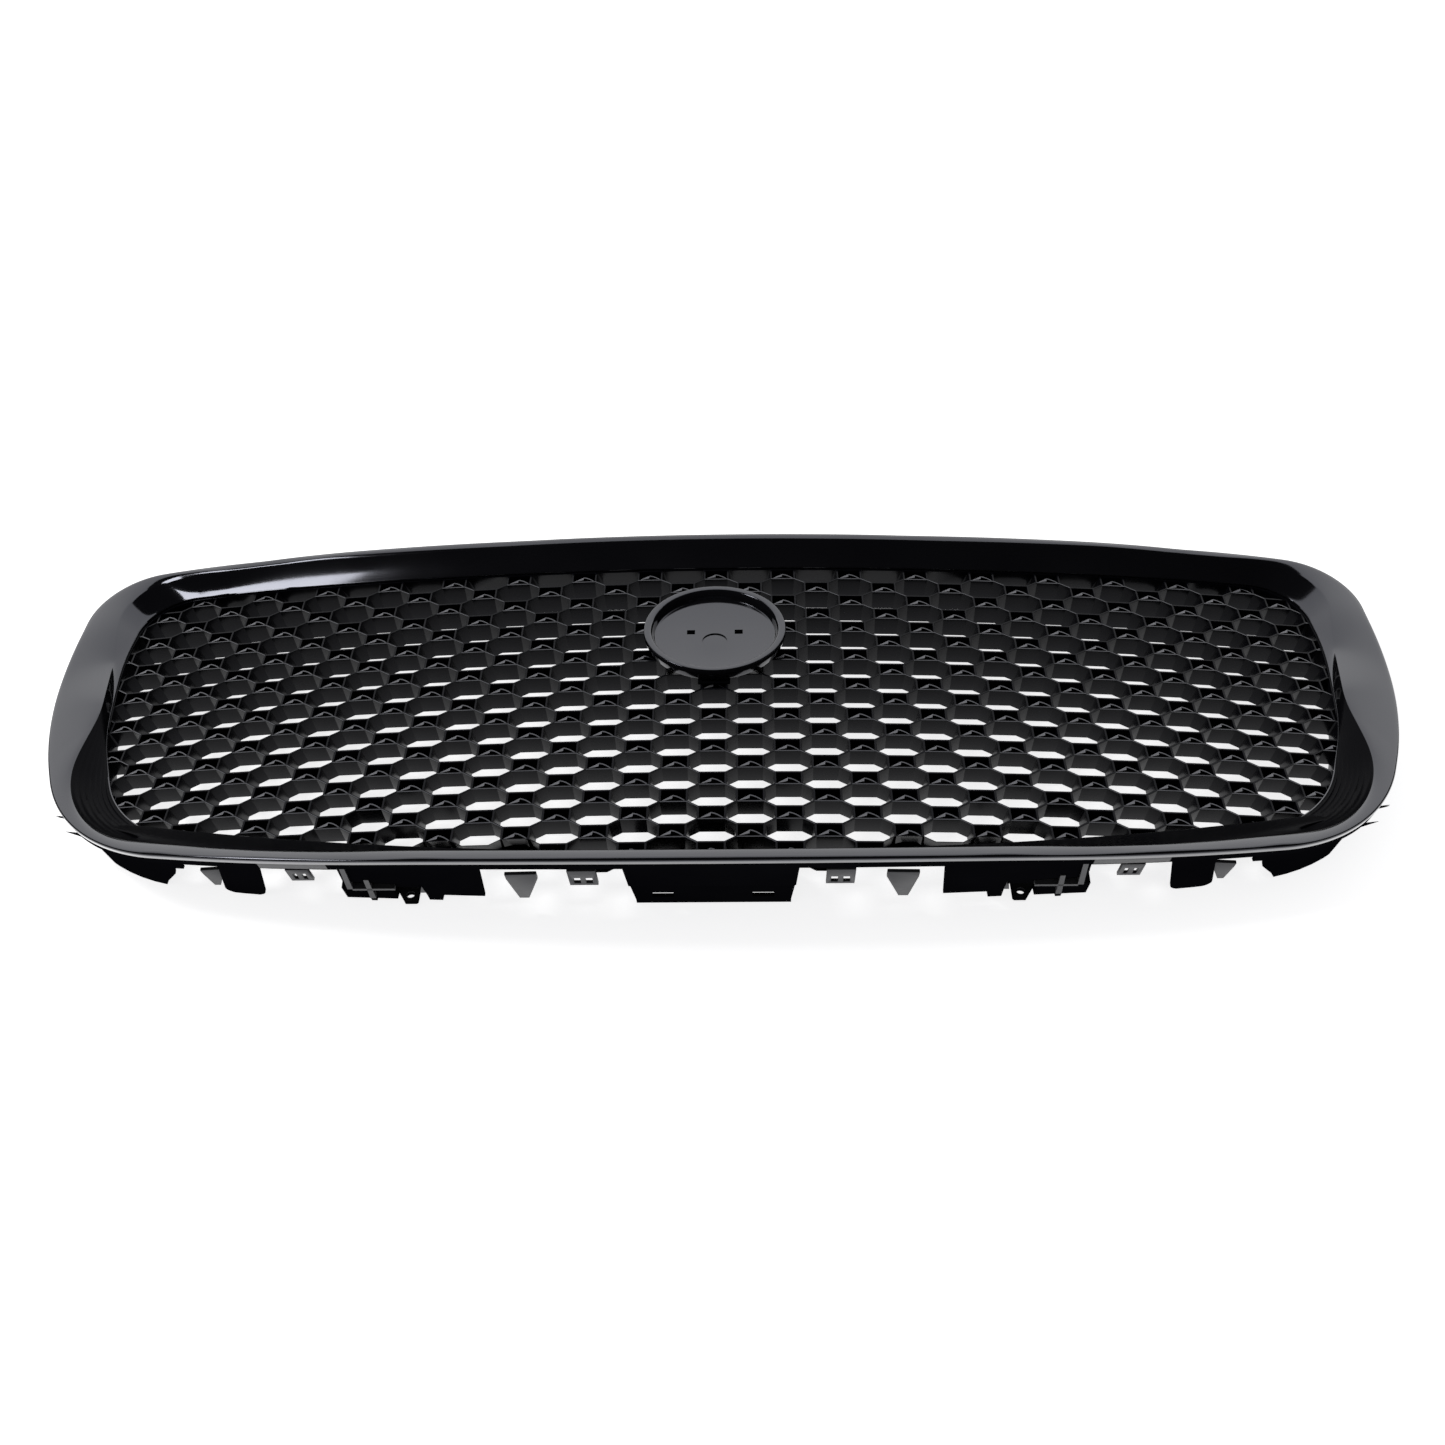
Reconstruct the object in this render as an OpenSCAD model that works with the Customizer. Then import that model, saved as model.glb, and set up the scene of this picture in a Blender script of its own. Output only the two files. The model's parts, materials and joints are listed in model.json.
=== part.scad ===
// Front grille: lofted surround, bowed octagon mesh, badge cup and rear mounting flange.
// Axes: X across the car, Y toward the top edge of the grille, Z out of the face.
// The grille lies on its back on the feet of the rear flange, at Z = 0.

/* [Overall] */
// tilt of the moulding draw axis from the face normal, degrees
draw_tilt = 26.5; // [15:0.5:35]
// radius of the sideways bow of the face, mm
bow_radius = 2500; // [1800:50:4000]
// height of the mesh face centre above the floor, mm
face_height = 66; // [50:1:90]
// plastic wall thickness, mm
wall = 2.5; // [1.8:0.1:4]

/* [Mesh] */
// sideways pitch between octagons of one row, mm
pitch_x = 46.6; // [30:0.1:60]
// pitch between rows seen along the draw axis, mm
pitch_v = 13.81; // [10:0.01:20]
// thickness of the mesh square to its face, mm
mesh_t = 17.5; // [10:0.5:25]
// thickness of the cell walls, mm
cell_wall = 1.6; // [1:0.1:3]

/* [Badge seat] */
// outer radius of the badge cup, mm
badge_r = 47.8; // [35:0.1:60]
// depth of the badge recess, mm
badge_depth = 6.5; // [3:0.5:12]
// distance of the badge centre up the face, mm
badge_y = 186.4; // [160:0.1:200]
// height of the badge rim over the mesh face, mm
badge_z = 10.6; // [6:0.1:20]

/* [Fixings] */
// clearance hole radius for the mounting screws, mm
hole_r = 2.6; // [2:0.1:4]
// spacing of the upper mounting lugs, mm
lug_pitch = 150; // [120:5:170]
// half distance between the lower screw ears, mm
ear_x = 187.5; // [170:0.5:200]

/* [Hidden] */
$fn = 72;
ct = cos(draw_tilt);
st = sin(draw_tilt);
tt = tan(draw_tilt);
y_mid = 145.5;
post_z = -9;
floor_z = -face_height;
cell_h = 2 * 0.654 * pitch_v - cell_wall;
cell_w = 0.65 * pitch_x - cell_wall;
slant_x = 0.15 * pitch_x;
slant_v = 0.31 * pitch_v;
pocket_w = 0.35 * pitch_x - cell_wall;
pocket_h = 0.692 * pitch_v - cell_wall;

// drop of the bowed face at sideways distance x
function drop(x) = bow_radius - sqrt(bow_radius * bow_radius - x * x);
// draw-axis coordinate of the mesh face
function face_w(x, v) = -v * tt - drop(x) / ct;

// corners [x, v, fillet radius, crest height] of the right half, top centre to bottom centre
outer_half = [[0, 269.3, 9000, 15], [330, 265.2, 2500, 15], [452, 256.5, 48, 13],
    [453, 172, 380, 6.5], [446, 104, 280, 11.5], [399, -2.7, 117, 14], [262, -23, 1200, 14],
    [0, -33, 4000, 14]];
crest_half = [[0, 262.3, 9000], [330, 258.4, 1000], [434, 249.5, 36], [421.5, 172, 200],
    [411, 122, 110], [418, 11, 80], [262, -14, 800], [0, -23.5, 4000]];
ridge_half = [[0, 240.5, 40000], [330, 239.6, 2300], [412, 236.5, 38], [417, 172, 190],
    [405, 100, 200], [373, 20, 86], [262, -11.5, 1600], [0, -17.5, 6700]];

function mirrored(h) = concat(h, [for (k = [len(h) - 2:-1:1])
    [for (m = [0:len(h[k]) - 1]) m == 0 ? -h[k][0] : h[k][m]]]);
function unit(a) = a / norm(a);
// points of the fillet at corner b between neighbours a and c, n steps
function fillet(a, b, c, r, n) =
    let (p = unit(a - b), q = unit(c - b), half = acos(p * q) / 2,
        m = b + unit(p + q) * r / sin(half), s = b + p * r / tan(half), e = b + q * r / tan(half),
        a0 = atan2(s[1] - m[1], s[0] - m[0]), a1 = atan2(e[1] - m[1], e[0] - m[0]),
        d = a1 - a0 > 180 ? a1 - a0 - 360 : (a1 - a0 < -180 ? a1 - a0 + 360 : a1 - a0))
    [for (k = [0:n]) m + r * [cos(a0 + d * k / n), sin(a0 + d * k / n)]];
function p2(c) = [c[0], c[1]];
steps = [4, 4, 12, 5, 5, 12, 4, 4, 4, 12, 5, 5, 12, 4];
function rounded(c, n) = [for (k = [0:len(c) - 1])
    each fillet(p2(c[(k + len(c) - 1) % len(c)]), p2(c[k]), p2(c[(k + 1) % len(c)]), c[k][2], n[k])];
// the same outline with each straight run cut into m parts
function divided(c, n, m) = let (l = len(c), f = [for (k = [0:l - 1])
    fillet(p2(c[(k + l - 1) % l]), p2(c[k]), p2(c[(k + 1) % l]), c[k][2], n[k])])
    [for (k = [0:l - 1]) each concat(f[k], [for (j = [1:m - 1])
        let (a = f[k][n[k]], b = f[(k + 1) % l][0]) a + (b - a) * j / m])];
function eased(t) = t * t * (3 - 2 * t);
function corner_value(c, n, i, m) = [for (k = [0:len(c) - 1]) each concat([for (j = [0:n[k]]) c[k][i]],
    [for (j = [1:m - 1]) c[k][i] + (c[(k + 1) % len(c)][i] - c[k][i]) * eased(j / m)])];
// outline moved inward by d
function inset(c, d) = [for (k = [0:len(c) - 1])
    let (b = p2(c[k]), p = unit(p2(c[(k + len(c) - 1) % len(c)]) - b),
        q = unit(p2(c[(k + 1) % len(c)]) - b), half = acos(p * q) / 2, m = b + unit(p + q) * d / sin(half))
    [m[0], m[1], c[k][2] - d]];

outer_c = mirrored(outer_half);
crest_c = mirrored([for (c = crest_half) c]);
ridge_c = mirrored([for (c = ridge_half) c]);
runs = 4;
outer_p = divided(outer_c, steps, runs);
crest_p = divided(crest_c, steps, runs);
ridge_p = divided(ridge_c, steps, runs);
crest_w = corner_value(outer_c, steps, 3, runs);

module placed() {
    translate([0, -y_mid, face_height]) rotate([draw_tilt, 0, 0]) children();
}
module face_placed() {
    translate([0, -y_mid, face_height]) children();
}
// solid under the bowed face, raised by o, in face axes
module under(o) {
    translate([0, -200, -bow_radius]) rotate([-90, 0, 0])
        cylinder(h = 760, r = bow_radius + o, $fn = 360);
}
module in_face() {
    rotate([-draw_tilt, 0, 0]) children();
}
// upright wall that follows the outline between two insets, cropped to a window
module wall_piece(d0, d1, x0, x1, v0, v1, w0, w1) {
    translate([0, 0, w0]) linear_extrude(height = w1 - w0) intersection() {
        difference() {
            polygon(rounded(inset(outer_c, d0), steps));
            polygon(rounded(inset(outer_c, d1), steps));
        }
        translate([x0, v0]) square([x1 - x0, v1 - v0]);
    }
}
// everything in front of the face raised by w
module above_face(w) {
    in_face() difference() {
        translate([-520, -120, -130]) cube([1040, 560, 330]);
        under(w * ct);
    }
}
// everything behind the face lowered by w
module behind_face(w) {
    in_face() under(-w * ct);
}
module under_floor() {
    in_face() translate([-520, -150, floor_z - 200]) cube([1040, 600, 200]);
}

// ---------------------------------------------------------------- surround
function lift(p, w) = [p[0], p[1], face_w(p[0], p[1]) + w];
function section(o, c, r, wc) =
    let (n = unit(c - o), l = norm(c - o), b = o + n * min(2.6, l * 0.4), i = o + n * 2,
        m = (b + c) / 2, g = (c + r) / 2, ri = r + unit(o - r) * 2.2,
        gi = g + unit(o - r) * 0.6, h = unit(o - r) * 1.2)
    [lift(o, -4), lift(o, 13), lift(b, 16), lift(m, (16 + wc) / 2 + 0.7), lift(c, wc),
        lift(g, (wc + 2) / 2 - 0.4), lift(r, 2), lift(r, 0.4), lift(ri, 0.4),
        lift(gi + h, (wc + 2) / 2 - 3), lift(c + h * 0.3, wc - 3), lift(i + n * 0.4, 11.5), lift(i, -4)];
module ring_loft() {
    n = len(outer_p);
    m = 13;
    pts = [for (k = [0:n - 1]) each section(outer_p[k], crest_p[k], ridge_p[k], crest_w[k])];
    quads = [for (k = [0:n - 1]) for (j = [0:m - 1])
        [k * m + j, ((k + 1) % n) * m + j, ((k + 1) % n) * m + (j + 1) % m, k * m + (j + 1) % m]];
    tris = [for (f = quads) each [[f[0], f[1], f[2]], [f[0], f[2], f[3]]]];
    polyhedron(points = pts, faces = tris, convexity = 8);
}
function top_screw_at() = [[-330, 250], [-110, 251], [110, 251], [330, 250]];
function side_screw_at() = [[-425, 205], [-427, 150], [-421, 100], [425, 205], [427, 150], [421, 100]];
module surround_frame() {
    color([0.06, 0.06, 0.065]) placed() difference() {
        union() {
            ring_loft();
            for (p = concat(top_screw_at(), side_screw_at()))
                translate([p[0], p[1], face_w(p[0], p[1]) + 2.4])
                    cylinder(h = abs(p[0]) > 400 ? 6.4 : 4, r = abs(p[0]) > 400 ? 3.4 : 3, $fn = 24);
        }
        for (p = concat(top_screw_at(), side_screw_at()))
            translate([p[0], p[1], face_w(p[0], p[1]) - 2]) cylinder(h = 7.3, r = 2.1, $fn = 24);
    }
}

// ---------------------------------------------------------------- mesh
function half_field(v) = 412 - max(0, 84 - v) * 1.1 - max(0, v - 205) * 0.9;
function in_field(x, v) = abs(x) + cell_w / 2 < half_field(v) + 6 && v < 236 && v > -8;
function badge_v() = badge_y * ct;
function by_badge(x, v) = norm([x * 0.8, v - badge_v()]) < badge_r - 12;
module octagon() {
    w = cell_w / 2;
    h = cell_h / 2;
    polygon([[-w, slant_v - h], [slant_x - w, -h], [w - slant_x, -h], [w, slant_v - h],
        [w, h - slant_v], [w - slant_x, h], [slant_x - w, h], [-w, h - slant_v]]);
}
module cell(x, v, open) {
    translate([x, v, face_w(x, v) - (open ? 60 : mesh_t / ct - 4.6)]) linear_extrude(height = open ? 100 : 60) {
        if (open) octagon();
        else square([pocket_w, pocket_h], center = true);
    }
}
function badge_screw_at() = [[-24, badge_y + 12], [24, badge_y + 12], [0, badge_y - 26]];
module bow_band(t) {
    translate([0, 480, 0]) rotate([90, 0, 0]) linear_extrude(height = 620) intersection() {
        difference() {
            translate([0, -bow_radius]) circle(r = bow_radius, $fn = 360);
            translate([0, -bow_radius]) circle(r = bow_radius - t, $fn = 360);
        }
        translate([-470, -200]) square([940, 300]);
    }
}
module mesh_panel() {
    color([0.05, 0.05, 0.055]) placed() difference() {
        intersection() {
            in_face() bow_band(mesh_t);
            translate([0, 0, -260]) linear_extrude(height = 320) polygon(rounded(inset(outer_c, 5.4), steps));
        }
        for (j = [-1:18]) for (i = [-18:18])
            if (in_field(i * pitch_x / 2, j * pitch_v) && !by_badge(i * pitch_x / 2, j * pitch_v))
                cell(i * pitch_x / 2, j * pitch_v, (i + j) % 2 == 0);
        for (p = concat(top_screw_at(), side_screw_at()))
            translate([p[0], p[1], -260]) cylinder(h = 320, r = 2.3, $fn = 24);
        in_face() for (p = badge_screw_at()) {
            translate([p[0], p[1], -60]) cylinder(h = 90, r = 2.3, $fn = 24);
            translate([p[0], p[1], post_z - 0.6]) cylinder(h = 30, r = 3.9, $fn = 24);
        }
        for (k = [-1, 1]) translate([k * 362, 248.5, face_w(362, 248.5) - 60])
            cylinder(h = 52, r = 2.4, $fn = 24);
    }
}

// ---------------------------------------------------------------- badge seat
module ring_at(z0, h, r1, r0) {
    translate([0, badge_y, z0]) difference() {
        cylinder(h = h, r = r1);
        translate([0, 0, -1]) cylinder(h = h + 2, r = r0);
    }
}
module badge_cup() {
    floor_t = 2.2;
    color([0.06, 0.06, 0.065]) face_placed() difference() {
        union() {
            translate([0, badge_y, 0]) rotate_extrude() {
                polygon([[0, badge_z - badge_depth - floor_t], [badge_r - 2, badge_z - badge_depth - floor_t],
                    [badge_r - 0.6, badge_z - 3], [badge_r, badge_z - 1.6], [badge_r - 0.7, badge_z - 0.4],
                    [badge_r - 2.2, badge_z], [badge_r - 5, badge_z - 0.7], [badge_r - 6.2, badge_z - 2],
                    [badge_r - 7, badge_z - badge_depth], [0, badge_z - badge_depth]]);
            }
            for (p = badge_screw_at()) translate([p[0], p[1], post_z]) cylinder(h = 12.4, r = 3.6, $fn = 24);
        }
        translate([0, badge_y - 6.7, badge_z - badge_depth - 0.9]) cylinder(h = 5, r = 8.3);
        for (k = [-1, 1]) translate([k * 16 - 2.7, badge_y + 0.5, -4]) cube([5.4, 4.8, 14]);
        for (p = badge_screw_at()) translate([p[0], p[1], post_z - 1]) cylinder(h = 11.6, r = 1.9, $fn = 24);
    }
}
module badge_boss() {
    color([0.05, 0.05, 0.055]) face_placed() difference() {
        union() {
            ring_at(0.2, badge_z - badge_depth - 2.4, badge_r - 7, badge_r - 10);
            for (p = badge_screw_at()) translate([p[0], p[1], 0.2])
                cylinder(h = badge_z - badge_depth - 2.4, r = 6.2, $fn = 36);
            for (k = [-1, 1]) translate([k * 24 - 1.2, badge_y - 30, 0.2])
                cube([2.4, 60, badge_z - badge_depth - 2.4]);
            translate([-28, badge_y - 27.2, 0.2]) cube([56, 2.4, badge_z - badge_depth - 2.4]);
        }
        for (p = badge_screw_at()) translate([p[0], p[1], -1]) cylinder(h = 8, r = 3.9, $fn = 24);
    }
}
module badge_support_frame() {
    y0 = badge_y - badge_r - 1;
    color([0.05, 0.05, 0.055]) face_placed() difference() {
        translate([-10.5, y0, 0.2]) cube([21, 7.8, 1.5]);
        translate([-8, y0 + 2, -1]) cube([16, 4.6, 5]);
    }
}
module badge_screws() {
    color([0.5, 0.5, 0.52]) face_placed() for (p = badge_screw_at()) translate([p[0], p[1], 0]) {
        translate([0, 0, -mesh_t - 1.4]) cylinder(h = mesh_t + 1.4, r = 1.8, $fn = 24);
        translate([0, 0, -mesh_t - 0.2 - 2.2]) difference() {
            cylinder(h = 2.2, r = 4.4, $fn = 36);
            translate([-0.6, -3, -0.5]) cube([1.2, 6, 1.4]);
            translate([-3, -0.6, -0.5]) cube([6, 1.2, 1.4]);
        }
    }
}

// ---------------------------------------------------------------- rear carriers
// solid with a profile in x and the draw axis
module profile(pts) {
    translate([0, 120, 0]) rotate([90, 0, 0]) linear_extrude(height = 220) polygon(pts);
}
module mirror_pair() {
    children();
    mirror([1, 0, 0]) children();
}
module lower_carrier() {
    tab = rounded([[265, 20, 1], [291, 20, 1], [306, -67.2, 7], [280, -66, 9]], [1, 1, 6, 6]);
    color([0.06, 0.06, 0.065]) placed() difference() {
        wall_piece(2.3, 2.3 + wall, -321.8, 321.8, -80, 80, -76, 36);
        above_face(4.5);
        under_floor();
        difference() {
            behind_face(4);
            profile([[-53, 40], [53, 40], [50, -22], [-50, -22]]);
            mirror_pair() profile([[134, 30], [220, 30], [223, -26], [176, -26], [175, -45], [139, -45]]);
            mirror_pair() profile(tab);
        }
    }
}
module corner_apron(side) {
    notch = [[300, -200], [347, -200], [345, -70], [341, -60], [331, -42], [328, -30], [321, -12], [300, -8]];
    color([0.06, 0.06, 0.065]) placed() mirror([side < 0 ? 1 : 0, 0, 0]) difference() {
        wall_piece(2.3, 2.3 + wall, 322, 404, -80, 10, -80, 4);
        above_face(4.5);
        under_floor();
        intersection() {
            profile(notch);
            behind_face(12);
        }
    }
}
module corner_apron_left() {
    corner_apron(-1);
}
module corner_apron_right() {
    corner_apron(1);
}
module side_carrier(side) {
    color([0.05, 0.05, 0.055]) placed() mirror([side < 0 ? 1 : 0, 0, 0]) difference() {
        wall_piece(2.3, 2.3 + wall, 396, 500, 62, 232, -190, -20);
        above_face(4.5);
        behind_face(22);
    }
}
module side_carrier_left() {
    side_carrier(-1);
}
module side_carrier_right() {
    side_carrier(1);
}
function lugs() = [for (k = [-2:2]) k * lug_pitch];
module upper_carrier() {
    pad_y = 325;
    color([0.05, 0.05, 0.055]) difference() {
        union() {
            placed() difference() {
                wall_piece(2.3, 2.3 + wall, -400, 400, 236, 296, -216, -90);
                above_face(4.5);
                difference() {
                    behind_face(24);
                    for (x = lugs()) translate([x - 13, 200, -260]) cube([26, 120, 220]);
                }
            }
            face_placed() for (x = lugs()) translate([x - 11.6, pad_y - 17.5, floor_z - 4]) cube([23.2, 20, 7]);
        }
        placed() under_floor();
        face_placed() for (x = lugs()) translate([x, pad_y - 9, floor_z - 2]) cylinder(h = 10, r = hole_r);
    }
}

// ---------------------------------------------------------------- rear details
module fin(pts, v, lean) {
    translate([0, v, 0]) rotate([lean, 0, 0]) rotate([90, 0, 0]) linear_extrude(height = 2.2) polygon(pts);
}
module guide_fins() {
    color([0.12, 0.12, 0.125]) placed() mirror_pair() {
        fin([[103, -2.6], [122, -3.6], [122, -11], [118, -46], [112, -46], [103, -11]], -23.9, 0);
        fin([[299.1, -36.1], [315, -38.5], [315, -45], [313.4, -66], [309.5, -66]], -7.6, 0);
    }
}
module latch(x, v, top, len, w) {
    translate([x, v, top]) {
        difference() {
            translate([-w / 2, 0, -len]) cube([w, 2.2, len]);
            translate([2.9 - w / 2, -1, 3.4 - len]) cube([w - 5.8, 5, min(9, len - 4.4)]);
        }
        translate([-1.6, 0, 3 - len]) cube([3.2, 1.4, min(10, len - 3.6)]);
    }
}
module latch_tabs() {
    color([0.1, 0.1, 0.105]) placed() mirror_pair() {
        latch(76, -26.95, 4.6, 24.7, 17);
        latch(247.6, -20.1, -9.2, 19.5, 13.6);
    }
}
module centre_box() {
    v0 = -24.7;
    color([0.07, 0.07, 0.075]) placed() difference() {
        difference() {
            union() {
                rotate([90, 0, 0]) translate([0, 0, -v0 - wall]) linear_extrude(height = wall)
                    polygon([[-51, -10], [51, -10], [47, -62], [-47, -62]]);
                mirror_pair() translate([45, v0, -64]) cube([wall, 24, 36]);
                mirror_pair() translate([22, v0, -70]) cube([17, 3.4, 16]);
                mirror_pair() translate([17, v0 + 1, -50]) cube([2.4, 16, 24]);
                translate([-46, v0 + 21, -66]) cube([92, wall, 36]);
            }
            mirror_pair() translate([24, v0 - 1, -50]) cube([13, 5, 8]);
        }
        under_floor();
    }
}
module side_box(side) {
    color([0.07, 0.07, 0.075]) mirror([side < 0 ? 1 : 0, 0, 0]) difference() {
        union() {
            placed() difference() {
                translate([197, -20.25, 0]) rotate([0, 0, 2.6]) union() {
                    translate([-21, 0, -40]) cube([48, wall, 18]);
                    translate([2, 0, -48]) cube([25, wall, 26]);
                    translate([-0.6, 0, -72]) cube([31.4, wall, 26]);
                    translate([28.3, 0, -72]) cube([wall + 0.5, 22, 26]);
                    translate([-0.6, 0, -72]) cube([wall, 22, 26]);
                    translate([12, -1.8, -72]) cube([3.4, 3, 30]);
                    translate([-0.6, 19.6, -72]) cube([31.4, wall, 26]);
                    translate([-29, 0, -66]) cube([8.4, wall, 44]);
                    translate([-29, 0, -72]) cube([wall, 14, 50]);
                }
                under_floor();
            }
            face_placed() translate([ear_x, 0, floor_z + 3]) linear_extrude(height = 2.6)
                polygon([[-5.3, 3.5], [-4.3, 2.5], [2.6, 2.5], [9.4, 15], [12.5, 15], [12.5, 22], [-5.3, 22]]);
        }
        face_placed() translate([ear_x, 8, floor_z - 2]) cylinder(h = 12, r = hole_r);
    }
}
module side_box_left() {
    side_box(-1);
}
module side_box_right() {
    side_box(1);
}
module mesh_screw(x, v) {
    translate([x, v, face_w(x, v)]) {
        translate([0, 0, -mesh_t / ct - 4.4]) cylinder(h = mesh_t / ct + 4.4 + 4.8, r = 1.9, $fn = 24);
        translate([0, 0, -mesh_t / ct - 4.4]) difference() {
            cylinder(h = 2, r = 4, $fn = 36);
            translate([-0.6, -2.7, -0.5]) cube([1.2, 5.4, 1.3]);
            translate([-2.7, -0.6, -0.5]) cube([5.4, 1.2, 1.3]);
        }
    }
}
module mesh_screws_top() {
    color([0.5, 0.5, 0.52]) placed() for (p = top_screw_at()) mesh_screw(p[0], p[1]);
}
module mesh_screws_sides() {
    color([0.5, 0.5, 0.52]) placed() for (p = side_screw_at()) mesh_screw(p[0], p[1]);
}
module upper_spring_clips() {
    color([0.45, 0.45, 0.46]) placed() for (x = [-225, -75, 75, 225]) {
        v = 269.3 - (abs(x) < 112 ? 0.7 + x * x / 18000 : abs(x) * 0.01242);
        w = face_w(x, v - 4);
        translate([x, v, w]) rotate([0, 0, x > 0 ? -0.7 : 0.7]) {
            translate([-7, -2.15, -27]) cube([14, 0.8, 11]);
            translate([-7, -5.8, -27]) cube([14, 0.8, 4]);
            translate([-7, -5.8, -27.8]) cube([14, 4.45, 0.9]);
            translate([-3, -1.4, -22.4]) cube([6, 1.2, 3]);
        }
    }
}
module locating_pins() {
    color([0.05, 0.05, 0.055]) placed() mirror_pair() translate([362, 248.5, face_w(362, 248.5)]) {
        translate([0, 0, -mesh_t / ct - 17]) cylinder(h = 13.6, r = 4, $fn = 48);
        translate([0, 0, -mesh_t / ct - 21]) cylinder(h = 4, r1 = 2.4, r2 = 4, $fn = 48);
        translate([0, 0, -mesh_t / ct - 6.6]) cylinder(h = 1.8, r = 6.5, $fn = 48);
        translate([0, 0, -mesh_t / ct - 5]) cylinder(h = 14.6, r = 2.2, $fn = 24);
    }
}
module foam_seal() {
    color([0.16, 0.16, 0.16]) placed() difference() {
        wall_piece(0.3, 2.2, -395, 395, 236, 296, -180, -90);
        above_face(-4.6);
        behind_face(13.5);
    }
}

surround_frame();
mesh_panel();
badge_cup();
badge_boss();
badge_support_frame();
badge_screws();
lower_carrier();
corner_apron_left();
corner_apron_right();
upper_carrier();
side_carrier_left();
side_carrier_right();
guide_fins();
latch_tabs();
centre_box();
side_box_left();
side_box_right();
mesh_screws_top();
mesh_screws_sides();
upper_spring_clips();
locating_pins();
foam_seal();
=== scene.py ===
"""Front grille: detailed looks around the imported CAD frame."""

import json
import math

import bmesh
import bpy
from mathutils import Matrix, Vector

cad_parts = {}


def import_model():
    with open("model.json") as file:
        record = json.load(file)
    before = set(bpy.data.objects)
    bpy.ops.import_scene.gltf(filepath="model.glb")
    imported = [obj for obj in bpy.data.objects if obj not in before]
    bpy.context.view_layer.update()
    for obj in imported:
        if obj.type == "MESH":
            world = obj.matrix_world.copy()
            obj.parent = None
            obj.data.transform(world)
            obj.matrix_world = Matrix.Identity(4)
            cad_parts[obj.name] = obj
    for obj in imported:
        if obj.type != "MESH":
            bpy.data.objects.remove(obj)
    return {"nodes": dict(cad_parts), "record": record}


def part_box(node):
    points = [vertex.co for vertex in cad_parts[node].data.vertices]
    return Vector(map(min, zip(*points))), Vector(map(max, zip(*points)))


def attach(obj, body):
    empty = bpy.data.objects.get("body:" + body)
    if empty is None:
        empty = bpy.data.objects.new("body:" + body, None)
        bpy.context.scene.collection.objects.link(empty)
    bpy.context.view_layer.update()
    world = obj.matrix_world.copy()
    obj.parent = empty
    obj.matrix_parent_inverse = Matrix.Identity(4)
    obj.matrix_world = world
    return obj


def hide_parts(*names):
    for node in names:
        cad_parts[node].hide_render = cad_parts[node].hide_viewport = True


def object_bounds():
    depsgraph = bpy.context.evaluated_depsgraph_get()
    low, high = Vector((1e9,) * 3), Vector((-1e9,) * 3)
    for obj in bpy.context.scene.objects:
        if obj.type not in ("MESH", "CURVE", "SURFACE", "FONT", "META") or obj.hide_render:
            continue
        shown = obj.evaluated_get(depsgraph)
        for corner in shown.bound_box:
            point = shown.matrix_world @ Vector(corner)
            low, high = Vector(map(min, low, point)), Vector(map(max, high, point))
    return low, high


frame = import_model()
CAD_LO, CAD_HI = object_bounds()

# ------------------------------------------------------------------ frame of the moulding
MM = 0.001
TILT = math.radians(26.5)          # draw axis from the face normal
BOW = 2500.0                       # radius of the sideways bow, mm
PITCH_X = 46.6                     # one cell to the next, sideways and down the face
PITCH_V = 13.81
MESH_T = 17.5                      # square to the face, mm
CT, ST, TT = math.cos(TILT), math.sin(TILT), math.tan(TILT)
BADGE_Y = 186.4                    # centre of the badge seat, up from the middle of the face
BADGE_R = 47.8
BADGE_Z = 10.6                     # height of its rim over the face
BADGE_DEPTH = 6.5                  # how deep its dish is

cup_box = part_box("badge_cup")
FACE_Z = cup_box[1].z / MM - BADGE_Z            # height of the mesh face centre
Y_SHIFT = (cup_box[0].y + cup_box[1].y) / 2 / MM - BADGE_Y
FLOOR_Z = CAD_LO.z / MM - FACE_Z                # height of the floor under the face centre


def drop(x):
    """How far the bow falls behind its top at x."""
    return BOW - math.sqrt(BOW * BOW - x * x)


def face_w(x, v):
    """Height of the mesh face along the draw axis."""
    return -v * TT - drop(x) / CT


def world(x, v, w):
    """Point of the frame, in metres, from draw-axis coordinates in mm."""
    return Vector((x, v * CT - w * ST + Y_SHIFT, v * ST + w * CT + FACE_Z)) * MM


def on_face(x, v, w=0.0):
    """Point w above the mesh face, measured along the draw axis."""
    return world(x, v, face_w(x, v) + w)


def face_point(x, y, z):
    """Point in upright millimetres, from the middle of the face."""
    return Vector((x, y + Y_SHIFT, z + FACE_Z)) * MM


# ------------------------------------------------------------------ outlines
# corners [x, v, fillet radius, crest height] of the right half, top centre to bottom centre
OUTER_HALF = [(0, 269.3, 9000, 15), (330, 265.2, 2500, 15), (452, 256.5, 48, 13), (453, 172, 380, 6.5),
              (446, 104, 280, 11.5), (399, -2.7, 117, 14), (262, -23, 1200, 14), (0, -33, 4000, 14)]
CREST_HALF = [(0, 262.3, 9000), (330, 258.4, 1000), (434, 249.5, 36), (421.5, 172, 200),
              (411, 122, 110), (418, 11, 80), (262, -14, 800), (0, -23.5, 4000)]
RIDGE_HALF = [(0, 240.5, 40000), (330, 239.6, 2300), (412, 236.5, 38), (417, 172, 190),
              (405, 100, 200), (373, 20, 86), (262, -11.5, 1600), (0, -17.5, 6700)]
ARC_STEPS = [10, 10, 30, 14, 14, 30, 12, 10]
CORNER_STEPS = ARC_STEPS + ARC_STEPS[-2:0:-1]
RUN_STEPS = 8


def mirrored(half):
    """Corners of the whole outline from those of its right half."""
    return list(half) + [(-c[0],) + tuple(c[1:]) for c in reversed(half[1:-1])]


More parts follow.
